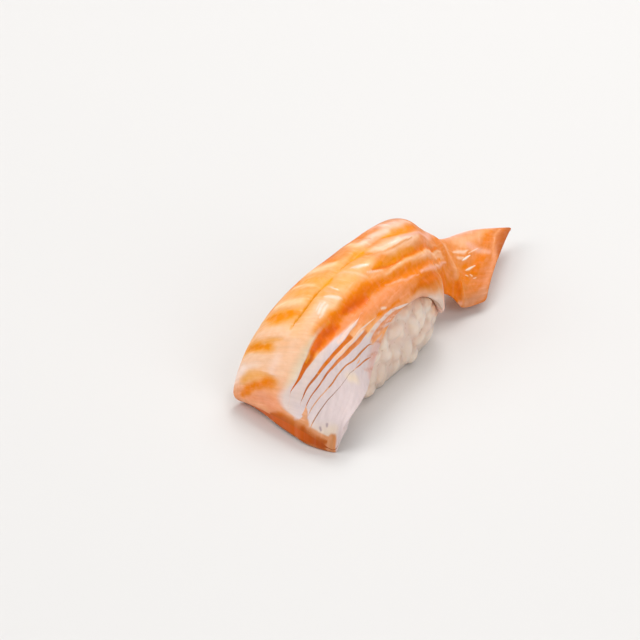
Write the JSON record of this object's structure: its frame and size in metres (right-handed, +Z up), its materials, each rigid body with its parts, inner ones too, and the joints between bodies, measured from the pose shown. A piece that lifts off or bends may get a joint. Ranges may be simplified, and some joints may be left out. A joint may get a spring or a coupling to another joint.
{
  "type": "salmon nigiri",
  "caption": "Salmon nigiri: a slice of raw salmon draped over a pressed block of rice, with a twisted tail.",
  "frame": {"origin": "on the flat underside of the rice block, near the middle of the block", "axes": "+Z up; +X along the rice block, from the foot of the slice towards its twisted tail; -Y is the side where the rice shows most"},
  "size_m": [0.0964, 0.0333, 0.0261],
  "materials": {
    "cooked_rice": "moist cooked rice, slightly translucent grains with a soft sheen",
    "salmon_flesh": "raw salmon, wet and translucent, orange with pale fat lines"
  },
  "bodies": {
    "root": {"rice_block": "cooked_rice", "salmon_slice": "salmon_flesh"}
  },
  "joints": []
}
